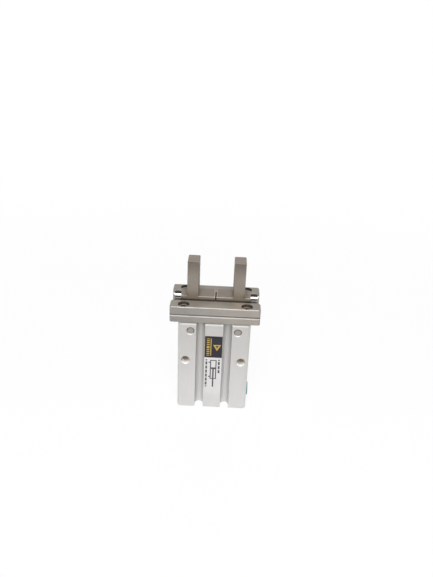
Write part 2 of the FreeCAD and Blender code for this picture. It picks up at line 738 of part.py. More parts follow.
for name, side in SIDES.items():
    # lever: boss on the shaft, one arm up into the finger and one arm in to the rod joint
    lever = new_body(f"{name}_lever")
    tilt(lever, (0, -side, 0), num("half_swing / 1 deg"))
    lever.setExpression("Placement.Rotation.Angle", ex("half_swing"))
    place(lever, both("pivot_x", side), "0", "pivot_z")
    inward = both("inner_arm", -side)
    boss = sketch(lever, "XZ_Plane")
    circles(boss, [("0", "0")], "boss_diameter")
    pad(lever, boss, "boss_width", symmetric=True)
    for corners, tip in [
        ([("-arm_root / 2", "0"), ("arm_root / 2", "0"),
          ("arm_neck / 2", "upper_arm"), ("-arm_neck / 2", "upper_arm")],
         ("0", "upper_arm")),
        ([("0", "-arm_root / 2"), (inward, "-arm_neck / 2"), (inward, "arm_neck / 2"), ("0", "arm_root / 2")],
         (inward, "0")),
    ]:
        arm = sketch(lever, "XZ_Plane")
        outline(arm, corners)
        pad(lever, arm, "lever_width", symmetric=True)
        end = sketch(lever, "XZ_Plane")
        circles(end, [tip], "tip_diameter")
        pad(lever, end, "lever_width", symmetric=True)
    eye = sketch(lever, "XZ_Plane")
    circles(eye, [("0", "0")], "shaft_diameter + 2 * run_gap")
    pocket(lever, eye, "boss_width * 2", symmetric=True)

    # lever shaft: hardened pin pressed through the body, its ends just below the front and rear faces
    shaft = new_body(f"{name}_lever_shaft")
    tilt(shaft, (1, 0, 0), 90)
    place(shaft, both("pivot_x", side), "0", "pivot_z")
    derive("shaft_half", "body_depth / 2 - shaft_recess")
    spin(shaft, "Revolution", [
        ("0", "-shaft_half"),
        ("shaft_diameter / 2 - free_gap", "-shaft_half"),
        ("shaft_diameter / 2", "-shaft_half + free_gap"),
        ("shaft_diameter / 2", "shaft_half - free_gap"),
        ("shaft_diameter / 2 - free_gap", "shaft_half"),
        ("0", "shaft_half"),
    ])

    # finger: sliding base in the channel with a V raceway on each flank, and the upright on top of it
    finger = new_body(f"{name}_finger")
    near_end = both("base_gap / 2", side)
    section = sketch(finger, "YZ_Plane", near_end)
    flank = [
        ("finger_width / 2", "base_bottom"),
        ("finger_width / 2", "race_z - race_half"),
        ("finger_width / 2 - race_half", "race_z"),
        ("finger_width / 2", "race_z + race_half"),
        ("finger_width / 2", "base_top - finger_edge"),
        ("finger_width / 2 - finger_edge", "base_top"),
    ]
    outline(section, flank + [(f"-({y})", z) for y, z in reversed(flank)])
    pad(finger, section, "base_length", backward=side < 0)
    ease(finger, "Chamfer", "finger_edge",
         lambda edge: at_height(edge, "base_top") and edge.BoundBox.XLength < SAME)
    derive("grip_x", "closed_gap / 2")
    derive("back_x", "closed_gap / 2 + finger_thickness")
    plan = sketch(finger, "XY_Plane", "base_top - finger_root")
    left = "grip_x" if side > 0 else "-back_x"
    right = "back_x" if side > 0 else "-grip_x"
    reach = "finger_width / 2"
    turn = "finger_corner"
    outline(plan, [
        (f"{left} + {turn}", f"-{reach}"),
        (f"{right} - {turn}", f"-{reach}"),
        (right, f"-{reach} + {turn}"),
        (right, f"{reach} - {turn}"),
        (f"{right} - {turn}", reach),
        (f"{left} + {turn}", reach),
        (left, f"{reach} - {turn}"),
        (left, f"-{reach} + {turn}"),
    ], {
        1: (f"{right} - {turn}", f"-{reach} + {turn}", True),
        3: (f"{right} - {turn}", f"{reach} - {turn}", True),
        5: (f"{left} + {turn}", f"{reach} - {turn}", True),
        7: (f"{left} + {turn}", f"-{reach} + {turn}", True),
    })
    pad(finger, plan, "finger_length + finger_root")
    ease(finger, "Fillet", "finger_edge", lambda edge: at_height(edge, "finger_top"))
    heel = both("back_x", side)
    out = both("back_x + finger_root", side)
    web = sketch(finger, "XZ_Plane")
    outline(web, [
        (heel, "base_top - finger_root"),
        (out, "base_top - finger_root"),
        (out, "base_top"),
        (heel, "base_top + finger_root"),
    ], {2: (out, "base_top + finger_root", side < 0)})
    pad(finger, web, "finger_width - 2 * finger_corner", symmetric=True)
    slot = sketch(finger, "XY_Plane", "base_bottom")
    middle = both("pivot_x - finger_travel / 2", side)
    box(slot, f"{middle} - joint_groove", f"{middle} + joint_groove",
        "-lever_width / 2 - free_gap", "lever_width / 2 + free_gap")
    pocket(finger, slot, "tip_rise + tip_diameter / 2 + free_gap", backward=True)
    derive("stop_near", "base_gap / 2 + stop_inset")
    derive("stop_far", "base_gap / 2 + base_length - stop_inset")
    stops = sketch(finger, "XZ_Plane")
    circles(stops, [(both("stop_near", side), "race_z"), (both("stop_far", side), "race_z")],
            "stop_diameter + 2 * fit_gap")
    pocket(finger, stops, "finger_width * 2", symmetric=True)
    bolts = sketch(finger, "YZ_Plane", both("back_x + finger_root", side))
    circles(bolts, [("0", "finger_top - finger_hole_drop"),
                    ("0", "finger_top - finger_hole_drop - finger_hole_pitch")], "finger_hole")
    pocket(finger, bolts, "finger_thickness + 2 * finger_root", backward=side < 0)

    # roller stops: two pins pressed through the base, whose ends keep the rollers in the raceways
    pins = []
    derive("stop_half", "race_y + stop_reach")
    for end in ("stop_near", "stop_far"):
        pin = rod(f"{name}_{end}", "stop_diameter", "2 * stop_half")
        tilt(pin, (1, 0, 0), -90)
        place(pin, both(end, side), "-stop_half", "race_z")
        pins.append(pin)
    group(f"{name}_roller_stops", pins)

    # crossed rollers: hardened rollers in each raceway, their axes turned 45 degrees one way and the other
    derive("roller_start",
           "stop_near + stop_diameter / 2 + stop_play + finger_travel / 2 + roller_diameter / 2")
    room = num("stop_far - stop_diameter / 2 - stop_play - roller_diameter / 2 - roller_start")
    count = int(room / num("roller_pitch") + SAME) + 1
    for row, along in (("front", -1), ("rear", 1)):
        rollers = []
        for index in range(count):
            lean = 45 if index % 2 else -45
            roller = rod(f"{name}_{row}_roller_{index}", "roller_diameter", "roller_length")
            tilt(roller, (1, 0, 0), lean)
            place(roller, both(f"roller_start + {index} * roller_pitch", side),
                  f"{both('race_y', along)} + roller_length / 2 * sin({lean} deg)",
                  f"race_z - roller_length / 2 * cos({lean} deg)")
            rollers.append(roller)
        group(f"{name}_{row}_rollers", rollers)

# port plugs: soft dust plugs seated in the mouths of the two air ports
for name, (along, up) in PORTS.items():
    plug = new_body(f"{name}_port_plug")
    tilt(plug, (0, 1, 0), 90)
    place(plug, "body_width / 2 + fit_gap", along, up)
    spin(plug, "Revolution", [
        ("0", "fit_gap * 2 - port_mouth_depth"),
        ("port_mouth / 2 - free_gap", "fit_gap * 2 - port_mouth_depth"),
        ("port_mouth / 2 - fit_gap", "free_gap - port_mouth_depth"),
        ("port_mouth / 2 - fit_gap", "0"),
        ("plug_flange / 2", "0"),
        ("plug_flange / 2", "plug_height - free_gap"),
        ("plug_flange / 2 - free_gap", "plug_height"),
        ("plug_dish / 2", "plug_height"),
        ("plug_dish / 2 - free_gap", "plug_height - plug_dish_depth"),
        ("0", "plug_height - plug_dish_depth"),
    ])

# blank label: printed film on the middle rib between the switch slots
label = doc.addObject("Part::Box", "blank_label")
label.Label = "blank_label"
derive("label_half", "slot_offset - slot_width / 2 - slot_lip")
label.setExpression("Length", ex("2 * label_half"))
label.setExpression("Width", ex("label_thickness"))
label.setExpression("Height", ex("label_height"))
place(label, "-label_half", "-body_depth / 2 - label_thickness", "label_bottom")
nodes.append(label)

doc.recompute()
for item in doc.Objects:
    if "Invalid" in item.State or "Error" in item.State:
        raise RuntimeError(f"{item.Label} did not build")
os.makedirs("parts", exist_ok=True)
for node in nodes:
    shape = node.Shape
    if shape.isNull() or not shape.isValid() or not shape.Solids:
        raise RuntimeError(f"{node.Label} has no valid solid")
    shape.exportStep(f"parts/{node.Label}.step")
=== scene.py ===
import json
import math

import bpy
import numpy as np
from mathutils import Matrix, Vector


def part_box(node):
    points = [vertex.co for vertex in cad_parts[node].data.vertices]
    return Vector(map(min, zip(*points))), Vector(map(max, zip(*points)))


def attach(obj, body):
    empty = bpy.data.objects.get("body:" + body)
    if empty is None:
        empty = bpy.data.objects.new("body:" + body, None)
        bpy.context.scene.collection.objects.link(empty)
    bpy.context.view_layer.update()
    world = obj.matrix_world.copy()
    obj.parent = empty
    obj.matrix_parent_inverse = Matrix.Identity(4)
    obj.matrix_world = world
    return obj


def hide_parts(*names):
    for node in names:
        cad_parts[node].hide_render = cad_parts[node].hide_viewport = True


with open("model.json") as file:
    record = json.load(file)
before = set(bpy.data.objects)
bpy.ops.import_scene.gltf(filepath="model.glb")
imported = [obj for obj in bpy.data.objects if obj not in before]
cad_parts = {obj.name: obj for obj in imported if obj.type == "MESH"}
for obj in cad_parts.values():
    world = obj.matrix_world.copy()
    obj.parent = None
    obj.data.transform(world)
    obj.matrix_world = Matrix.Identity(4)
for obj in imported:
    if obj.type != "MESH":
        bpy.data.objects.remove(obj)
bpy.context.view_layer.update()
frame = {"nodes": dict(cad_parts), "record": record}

# Cylinder body: a length of aluminium extrusion with two switch slots down the front and two down the
# rear, bored from below and milled flat at both ends. It is etched and clear anodised after the cutting.


class Wire:
    """One socket in a node tree. Sums, products and comparisons of wires add Math nodes."""

    def __init__(self, tree, socket=None):
        self.tree = tree
        self.socket = socket

    def node(self, kind, settings=None, inputs=None, output=0):
        """Adds a node of that type, sets its settings, then fills or links its sockets."""
        made = self.tree.nodes.new(kind)
        for name, value in (settings or {}).items():
            setattr(made, name, value)
        for name, value in (inputs or {}).items():
            if isinstance(value, Wire):
                self.tree.links.new(value.socket, made.inputs[name])
            else:
                made.inputs[name].default_value = value
        return Wire(self.tree, made.outputs[output] if made.outputs else None)

    def math(self, operation, first, second):
        """A Math node on two numbers or wires."""
        return self.node("ShaderNodeMath", {"operation": operation}, {0: first, 1: second})

    def __add__(self, other):
        return self.math("ADD", self, other)

    def __radd__(self, other):
        return self.math("ADD", other, self)

    def __sub__(self, other):
        return self.math("SUBTRACT", self, other)

    def __rsub__(self, other):
        return self.math("SUBTRACT", other, self)

    def __mul__(self, other):
        return self.math("MULTIPLY", self, other)

    def __rmul__(self, other):
        return self.math("MULTIPLY", other, self)

    def __mod__(self, other):
        return self.math("MODULO", self, other)

    def __lt__(self, other):
        return self.math("LESS_THAN", self, other)

    def __gt__(self, other):
        return self.math("GREATER_THAN", self, other)

    def __abs__(self):
        return self.math("ABSOLUTE", self, 0.0)


def shade(red, green, blue):
    """A screen colour, 0 to 255 for each channel, as linear light with full alpha."""
    channel = np.array([red, green, blue]) / 255
    light = np.where(channel > 0.04045, ((channel + 0.055) / 1.055) ** 2.4, channel / 12.92)
    return (*light.tolist(), 1.0)


def empty_tree(owner):
    """Empties the node tree of a material or a world and gives a wire into it."""
    owner.use_nodes = True
    owner.node_tree.nodes.clear()
    return Wire(owner.node_tree)


def finish(name, build, **choices):
    """A material whose Principled sockets are what build(wire, **choices) returns."""
    material = bpy.data.materials.new(name)
    wire = empty_tree(material)
    shader = wire.node("ShaderNodeBsdfPrincipled", inputs=build(wire, **choices))
    wire.node("ShaderNodeOutputMaterial", inputs={"Surface": shader})
    return material


def coat(material, *names):
    """Gives CAD nodes their material."""
    for name in names:
        for slot in frame["nodes"][name].material_slots:
            slot.material = material


def corners(node):
    """Lowest and highest corner of a CAD node, in mm."""
    low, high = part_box(node)
    return low * 1000, high * 1000


def mount(name):
    """Place in mm, and dimensions, of one of the record's mounts."""
    found = next(entry for entry in frame["record"]["mounts"] if entry["name"] == name)
    return Vector(found["pos_m"]) * 1000, found["dims"]


def millimetres(wire):
    """Object coordinates in millimetres."""
    place = wire.node("ShaderNodeTexCoord", output="Object")
    return wire.node("ShaderNodeVectorMath", {"operation": "SCALE"}, {0: place, "Scale": 1000.0})


def axes(place):
    """The x, y and z wires of a place."""
    return [place.node("ShaderNodeSeparateXYZ", inputs={0: place}, output=axis) for axis in "XYZ"]


def grain(place, size, detail=2.0):
    """Noise from 0 to 1 in patches that measure size = (x, y, z) mm."""
    spread = place.node("ShaderNodeVectorMath", {"operation": "DIVIDE"}, {0: place, 1: size})
    return place.node("ShaderNodeTexNoise", inputs={"Vector": spread, "Scale": 1.0, "Detail": detail})


def ramp(value, low, high):
    """0 below low and 1 above high, with a smooth step between them."""
    return value.node("ShaderNodeMapRange", {"interpolation_type": "SMOOTHSTEP"},
                      {"Value": value, "From Min": low, "From Max": high})


def blend_colours(mask, first, second):
    """The first colour where the mask is 0, the second where it is 1."""
    return mask.node("ShaderNodeMix", {"data_type": "RGBA"}, {0: mask, 6: first, 7: second}, 2)


def layers(colour, *coats):
    """A colour with each (mask, colour) coat laid over it in turn."""
    for mask, over in coats:
        colour = blend_colours(mask, colour, over)
    return colour


def rounded(wire, radius):
    """The surface normal with every edge rounded over a radius in mm."""
    return wire.node("ShaderNodeBevel", {"samples": 6}, {"Radius": radius / 1000})


def edge_rub(wire, soft):
    """0 on flat faces, 1 where the rounded normal leaves the true one: the edges that hands rub."""
    true = wire.node("ShaderNodeNewGeometry", output="Normal")
    along = wire.node("ShaderNodeVectorMath", {"operation": "DOT_PRODUCT"}, {0: soft, 1: true}, "Value")
    return ramp(1.0 - along, 0.01, 0.15)


def relief(height, depth, soft):
    """Bump of a height from 0 to 1 that stands depth mm high, over the rounded normal."""
    return height.node("ShaderNodeBump", inputs={"Strength": 1.0, "Distance": depth / 1000,
                                                 "Height": height, "Normal": soft})


side_bolts, side_dims = mount("front_bolts")
face_y = -side_bolts.y
mount_x = side_dims["spacing_x_mm"] / 2
mount_z = side_bolts.z
tap_radius = side_dims["hole_r_mm"]
tap_flare = 0.25  # countersink of a tapped hole, on its radius
shaft_low, shaft_high = corners("right_lever_shaft")
pivot_x, _, pivot_z = (shaft_low + shaft_high) / 2
shaft_radius = (shaft_high.x - shaft_low.x) / 2
shaft_flare = 0.3  # countersink of a lever shaft's hole, on its radius
slot_x = 5.7
slot_half = 2.3
slot_lip = 0.2
skin = 0.01  # what lies within this of a face counts as the face
shade_depth = 4.0  # below this, a hole's wall carries painted shade all round
lit_depth = 2.0  # down to this, its lower half carries painted light
# Painted shade: the body's colour darkens up to this height.
upper_shade_height = 45.0

silver_dark = shade(200, 199, 198)
silver_light = shade(214, 213, 212)
painted_upper_shade = shade(174, 171, 167)
dust = shade(150, 146, 140)
bare_edge = shade(236, 236, 236)
painted_slot_light = shade(230, 229, 227)
# Painted shade and painted light for the walls of the drilled holes.
painted_hole_shade = shade(178, 174, 169)
painted_hole_light = shade(244, 244, 243)
painted_seat_shade = shade(104, 92, 82)
painted_tapped_shade = shade(222, 205, 184)


def drilled(place, centre_x, centre_z, reach, foot):
    """Masks of the walls of the holes at (+-centre_x, centre_z) in the front and rear.

    The first is all of a wall, out to the radius reach, which is painted in shade. The second is what lies
    high or deep in it, which gets a brown painted shade, and the third the rest of it, from foot mm below
    the axis down, which gets painted light.
    """
    blur = 0.4
    x, y, z = axes(place)
    aside = abs(x) - centre_x
    below = centre_z - z
    hole = (aside * aside + below * below < reach ** 2) * (abs(y) < face_y - skin)
    shallow = ramp(abs(y), face_y - shade_depth, face_y - lit_depth)
    lit_lower = shallow * ramp(below, -0.5 * reach, 0.1 * reach)
    return hole, hole * (1.0 - lit_lower), hole * lit_lower * ramp(below, foot - blur, foot + blur)


def anodised(wire):
    """Etched grain, faint streaks up the profile, pale edges, and painted light and shade on top, slots and
    holes.
    """
    place = millimetres(wire)
    x, y, z = axes(place)
    streaks = grain(place, (0.35, 0.35, 45.0))
    etch = grain(place, (0.10, 0.10, 0.12), detail=3.0)
    clouds = grain(place, (6.0, 6.0, 9.0))
    specks = ramp(grain(place, (0.5, 0.5, 0.5)), 0.70, 0.74)
    soft = rounded(wire, radius=0.15)
    rub = edge_rub(wire, soft)
    slots = (abs(abs(x) - slot_x) < slot_half) * (abs(y) < face_y - slot_lip)
    tapped, tapped_top, tapped_foot = drilled(place, mount_x, mount_z, tap_radius + tap_flare, foot=0.6)
    sunk, sunk_top, sunk_foot = drilled(place, pivot_x, pivot_z, shaft_radius + shaft_flare, foot=1.2)
    return {
        "Base Color": layers(
            blend_colours(0.4 * streaks + 0.6 * clouds, silver_dark, silver_light),
            # Painted shade: darker towards the top of the body.
            (0.6 * ramp(z, 0.0, upper_shade_height), painted_upper_shade),
            (0.10 * specks, dust),
            (0.5 * rub, bare_edge),
            # Painted light: the slots are painted a little lighter.
            (0.12 * slots, painted_slot_light),
            # Painted shade on the holes' walls, painted light on their lower halves, brown painted shade
            # above and deep.
            (tapped + sunk, painted_hole_shade),
            (tapped_foot + sunk_foot, painted_hole_light),
            (0.8 * sunk_top, painted_seat_shade),
            (0.9 * tapped_top, painted_tapped_shade),
        ),
        "Metallic": 0.35,
        "Roughness": 0.44 + 0.08 * streaks + 0.06 * etch - 0.10 * rub,
        "Normal": relief(0.8 * etch + 0.2 * streaks, depth=0.004, soft=soft),
    }


aluminium = finish("anodised_aluminium", anodised)
coat(aluminium, "cylinder_body")

# Tapped holes of the body: M4 in the front, the rear and the bottom, and M5 in the two air ports.
# Each thread is cut straight into the aluminium and starts a little below the hole's mouth.


def thread_ridge(mouth, inward, radius, depth, pitch, length):
    """Ridge of an inside thread, as points and faces, all in mm.

    A four-cornered profile is carried along the helix
    mouth + inward * pitch * t / 2 pi + r * (across * cos t + aside * sin t),
    where inward is a unit step along one of the axes.
    Its crest stands depth inside the wall and sinks into it over half a turn at both ends.
    """
    steps_a_turn = 24
    sunk = 0.03
    root_share = 0.46
    crest_share = 0.08
    least_rise = 0.05
    inward = np.array(inward, float)
    across = np.roll(inward, 1)
    aside = np.cross(inward, across)
    turns = length / pitch
    t = np.linspace(0.0, 2 * math.pi * turns, int(turns * steps_a_turn) + 1)
    rise = np.clip(np.minimum(t, t[-1] - t) / math.pi, least_rise, 1.0) * (depth + sunk)
    wall = np.full_like(t, radius + sunk)
    rings = np.stack([wall, wall - rise, wall - rise, wall], axis=1)
    shift = pitch * np.array([-root_share, -crest_share, crest_share, root_share])
    along = pitch * t[:, None] / (2 * math.pi) + shift
    outward = np.cos(t)[:, None] * across + np.sin(t)[:, None] * aside
    points = np.array(mouth, float) + rings[..., None] * outward[:, None] + along[..., None] * inward
    here = np.arange(len(t) - 1)[:, None] * 4
    corner = np.arange(4)
    following = (corner + 1) % 4
    faces = np.stack([here + corner, here + following, here + 4 + following, here + 4 + corner], axis=-1)
    last = (len(t) - 1) * 4
    ends = np.array([[3, 2, 1, 0], [last, last + 1, last + 2, last + 3]])
    return points.reshape(-1, 3), np.concatenate([faces.reshape(-1, 4), ends])


def mesh_object(name, points, faces, material):
    """An object in the scene from points in metres and faces."""
    mesh = bpy.data.meshes.new(name)
    mesh.from_pydata(points.tolist(), [], faces)
    mesh.materials.append(material)
    made = bpy.data.objects.new(name, mesh)
    bpy.context.scene.collection.objects.link(made)
    return made


def piece(name, shapes, material, body):
    """One object from shapes in mm, riding on a body.

    A shape is an array of points, then one or more arrays of faces.
    """
    points = np.concatenate([shape[0] for shape in shapes]) / 1000
    faces = []
    start = 0
    for shape_points, *face_arrays in shapes:
        for face_array in face_arrays:
            faces.extend((face_array + start).tolist())
        start += len(shape_points)
    made = mesh_object(name, points, faces, material)
    made.data.shade_smooth()
    made.data.set_sharp_from_angle(angle=math.radians(35))
    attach(made, body)
    return made


mount_thread = {"radius": tap_radius, "depth": 0.14, "pitch": 0.7, "length": 7.0}
mount_lead = 0.6
mount_ridges = []
for x in (-mount_x, mount_x):
    mount_ridges.append(thread_ridge((x, mount_lead - face_y, mount_z), (0, 1, 0), **mount_thread))
    mount_ridges.append(thread_ridge((x, face_y - mount_lead, mount_z), (0, -1, 0), **mount_thread))
    mount_ridges.append(thread_ridge((x, 0, mount_lead), (0, 0, 1), **mount_thread))
piece("mount_threads", mount_ridges, aluminium, "housing")

port_lead = 0.3
port_ridges = []
for name in ("lower_port", "upper_port"):
    port, port_dims = mount(name)
    port_thread = {"radius": port_dims["r_mm"], "depth": 0.16, "pitch": 0.8, "length": 3.2}
    start_x = port.x + port_dims["length_mm"] / 2 - port_lead
    port_ridges.append(thread_ridge((start_x, port.y, port.z), (-1, 0, 0), **port_thread))
piece("port_threads", port_ridges, aluminium, "housing")

# Rod gland in the bulkhead: a rubber lip seal held by a thin pressed steel washer, and the bronze bush
# above it that guides the rod. The bush is turned and pressed in, so its face shows turning rings.


def rubber(wire):
    """Black nitrile with a dull mould skin and a trace of grease."""
    place = millimetres(wire)
    mould_skin = grain(place, (0.15, 0.15, 0.15), detail=3.0)
    grease = ramp(grain(place, (1.4, 1.4, 1.4)), 0.45, 0.70)
    return {
        "Base Color": blend_colours(mould_skin, shade(24, 24, 25), shade(44, 44, 46)),
        "Roughness": 0.66 - 0.30 * grease + 0.10 * mould_skin,
        "Normal": relief(mould_skin, depth=0.006, soft=rounded(wire, radius=0.10)),
    }


def turned(wire, ring, dark, light, rough, centre=(0.0, 0.0, 0.0), level=(1.0, 1.0, 0.0)):
    """Turned metal: rings about ring mm wide round the centre, over soft clouds of colour.

    level has a 1 for each axis that the rings lie along and a 0 for the axis they go round.
    """
    place = millimetres(wire)
    aside = place.node("ShaderNodeVectorMath", {"operation": "SUBTRACT"}, {0: place, 1: centre})
    flat = place.node("ShaderNodeVectorMath", {"operation": "MULTIPLY"}, {0: aside, 1: level})
    radius = place.node("ShaderNodeVectorMath", {"operation": "LENGTH"}, {0: flat}, "Value")
    rings = place.node("ShaderNodeTexNoise", {"noise_dimensions": "1D"},
                       {"W": radius, "Scale": 1 / ring, "Detail": 3.0})
    clouds = grain(place, (2.0, 2.0, 2.0))
    soft = rounded(wire, radius=0.08)
    rub = edge_rub(wire, soft)
    metal = blend_colours(0.6 * rings + 0.4 * clouds, dark, light)
    return {
        "Base Color": blend_colours(0.5 * rub, metal, shade(232, 229, 224)),
        "Metallic": 1.0,
        "Roughness": rough + 0.16 * rings - 0.06 * rub,
        "Normal": relief(rings, depth=0.004, soft=soft),
    }


nitrile = finish("nitrile_rubber", rubber)
coat(nitrile, "rod_seal", "piston_seal", "end_cap_seal", "cap_bumper", "rod_bumper")
bronze = finish("bearing_bronze", turned, ring=0.06, rough=0.30,
                dark=shade(150, 108, 62), light=shade(196, 150, 92))
coat(bronze, "rod_bush")
spring_steel = finish("spring_steel", turned, ring=0.30, rough=0.34,
                      dark=shade(70, 68, 66), light=shade(104, 101, 98))
coat(spring_steel, "rod_seal_retainer", "retaining_ring")

# Piston and rod, turned from one steel bar, with the joint block that both levers hook into and the
# screw that holds it. The piston carries a plastic wear ring and the magnet that the switches sense.
rod_steel = finish("hardened_steel_turned", turned, ring=0.05, rough=0.22,
                   dark=shade(146, 143, 139), light=shade(188, 185, 181))
coat(rod_steel, "piston_rod")


def moulded(wire, dark, light, rough):
    """Moulded plastic or bonded powder: close mottling under a satin skin."""
    place = millimetres(wire)
    mottle = grain(place, (0.25, 0.25, 0.25), detail=4.0)
    flow = grain(place, (1.2, 1.2, 1.2))
    return {
        "Base Color": blend_colours(0.5 * mottle + 0.5 * flow, dark, light),
        "Roughness": rough + 0.12 * mottle,
        "Normal": relief(mottle, depth=0.004, soft=rounded(wire, radius=0.10)),
    }


magnet = finish("bonded_magnet", moulded, rough=0.5, dark=shade(40, 39, 38), light=shade(66, 64, 62))
coat(magnet, "piston_magnet")
wear_plastic = finish("bearing_plastic", moulded, rough=0.42,
                      dark=shade(196, 190, 172), light=shade(222, 217, 202))
coat(wear_plastic, "piston_wear_ring")


def hardened(wire, lines, dark, light, rough):
    """Hardened steel: fine lines of size lines = (x, y, z) mm, oil-brown clouds and rubbed edges."""
    place = millimetres(wire)
    scratches = grain(place, lines, detail=3.0)
    oil = grain(place, (3.0, 3.0, 3.0))
    soft = rounded(wire, radius=0.08)
    rub = edge_rub(wire, soft)
    metal = blend_colours(0.6 * scratches + 0.4 * oil, dark, light)
    return {
        "Base Color": blend_colours(0.5 * rub, metal, shade(226, 222, 215)),
        "Metallic": 1.0,
        "Roughness": rough + 0.18 * scratches - 0.06 * rub,
        "Normal": relief(scratches, depth=0.004, soft=soft),
    }


drive_steel = finish("hardened_steel", hardened, lines=(0.06, 2.0, 0.06), rough=0.26,
                     dark=shade(128, 123, 117), light=shade(170, 164, 157))
coat(drive_steel, "rod_joint", "left_lever", "right_lever")
screw_steel = finish("screw_steel", hardened, lines=(0.20, 0.20, 0.20), rough=0.34,
                     dark=shade(150, 142, 133), light=shade(184, 176, 166))
coat(screw_steel, "joint_screw")

# End cap: a turned aluminium plug that closes the bore, sealed by a rubber ring in its groove and kept
# in by the spring-steel retaining ring. Its outer face shows the rings of the lathe tool.
cap_aluminium = finish("turned_aluminium", turned, ring=0.10, rough=0.34,
                       dark=shade(190, 190, 192), light=shade(224, 224, 224))
coat(cap_aluminium, "end_cap")

# Lever shafts: hardened pins pressed through the body, one for each lever. Their faced ends lie just
# below the front and rear faces, each in a small countersink.
pin_dark = shade(156, 151, 146)
pin_light = shade(184, 178, 172)
painted_rim_shade = shade(92, 80, 71)
rim_shade_inner = shaft_radius - 0.25
rim_shade_outer = shaft_radius - 0.05


def pin_end(wire, side):
    """A faced pin about the axis x = side, with a rim painted in shade."""
    sockets = turned(wire, ring=0.05, dark=pin_dark, light=pin_light, rough=0.36,
                     centre=(side, 0.0, pivot_z), level=(1.0, 0.0, 1.0))
    x, _, z = axes(millimetres(wire))
    aside = x - side
    above = z - pivot_z
    rim = ramp(aside * aside + above * above, rim_shade_inner ** 2, rim_shade_outer ** 2)
    # Painted shade on the pin's rim.
    sockets["Base Color"] = blend_colours(0.7 * rim, sockets["Base Color"], painted_rim_shade)
    return sockets


for name, side in (("left_lever_shaft", -pivot_x), ("right_lever_shaft", pivot_x)):
    coat(finish(name, pin_end, side=side), name)

# Guide rail: a block of hardened steel, ground all over, with a channel for the fingers and a raceway in
# each of its walls. A V line runs along its front and rear, and four sunk screws hold it to the body.


def between(value, low, high):
    """1 where the value lies from low to high."""
    return (value > low) * (value < high)


def lengthwise(wire):
    """1 on faces that run along the fingers' travel, 0 on end faces."""
    across, _, _ = axes(wire.node("ShaderNodeNewGeometry", output="True Normal"))
    return abs(across) < 0.5


nick = shade(84, 74, 62)
# Oil and painted shade share this colour.
oil_and_painted_shade = shade(58, 50, 42)


def ground(wire, lines, dark, light, rubbed, film, rough, zones):
    """Ground steel: lines of size lines = (x, y, z) mm, warm clouds, a few nicks and edges bright with
    wear.

    zones(place) gives four masks: what is polished, such as raceways and chamfers, what painted highlights
    and painted light make bright, where oil and painted shade darken it, and what a tint covers, partly a
    thin film of oil and partly painted light.
    """
    place = millimetres(wire)
    scratches = ramp(grain(place, lines, detail=4.0), 0.25, 0.75)
    fine = grain(place, (0.05, 0.05, 0.05))
    warm = grain(place, (5.0, 4.0, 4.0))
    nicks = ramp(grain(place, (0.9, 0.35, 0.5), detail=3.0), 0.71, 0.74)
    soft = rounded(wire, radius=0.05)
    rub = edge_rub(wire, soft)
    polished, painted_light, oil_and_shade_mask, tint_and_painted_light = zones(place)
    dull = rough + 0.10 * scratches + 0.05 * fine - 0.04 * rub
    return {
        "Base Color": layers(
            blend_colours(0.55 * scratches + 0.45 * warm, dark, light),
            # A tint, partly an oil film and partly painted light.
            (tint_and_painted_light * (0.4 + 0.6 * warm), film),
            (0.35 * nicks, nick),
            # Edges bright with wear, plus painted highlights and painted light.
            (0.5 * rub + painted_light, rubbed),
            # Oil and painted shade.
            (oil_and_shade_mask, oil_and_painted_shade),
        ),
        "Metallic": (0.5 + 0.5 * polished) * (1.0 - 0.6 * oil_and_shade_mask),
        "Roughness": dull * (1.0 - 0.7 * polished) + 0.12 * oil_and_shade_mask,
        "Normal": relief(0.7 * scratches + 0.3 * fine, depth=0.003, soft=soft),
    }


rail_low, rail_high = corners("guide_rail")
rail_foot = rail_low.z
rail_top = rail_high.z
rail_face = rail_high.y
chamfer = 0.28
foot_chamfer = 0.4
edge = 0.06  # how far a mask reaches past the face or the edge that it covers
screws_low, screws_high = corners("guide_screws")
head_radius = 2.25
head_height = 2.5
screw_x = screws_high.x - head_radius
screw_y = screws_high.y - head_radius
seat_z = screws_high.z - head_height
counterbore_radius = 2.45
rollers_low, rollers_high = corners("left_front_rollers")
race_z = (rollers_low.z + rollers_high.z) / 2
race_half = 0.88
race_idle = 1.5  # half the length in the middle that no roller reaches
channel_wall = 4.5
channel_depth = 4.9
channel_floor = rail_top - channel_depth
line_drop = 3.95
line_z = rail_top - line_drop
line_half = 0.525
line_root = rail_face - line_half - edge
sliver = 0.02  # a mask of a raceway or of a seat is set off by this much
top_shade_span = (10.0, 16.0)
face_tint_span = (-18.0, 14.0)
top_tint_span = (6.5, 9.0)
end_span = (12.0, 16.0)


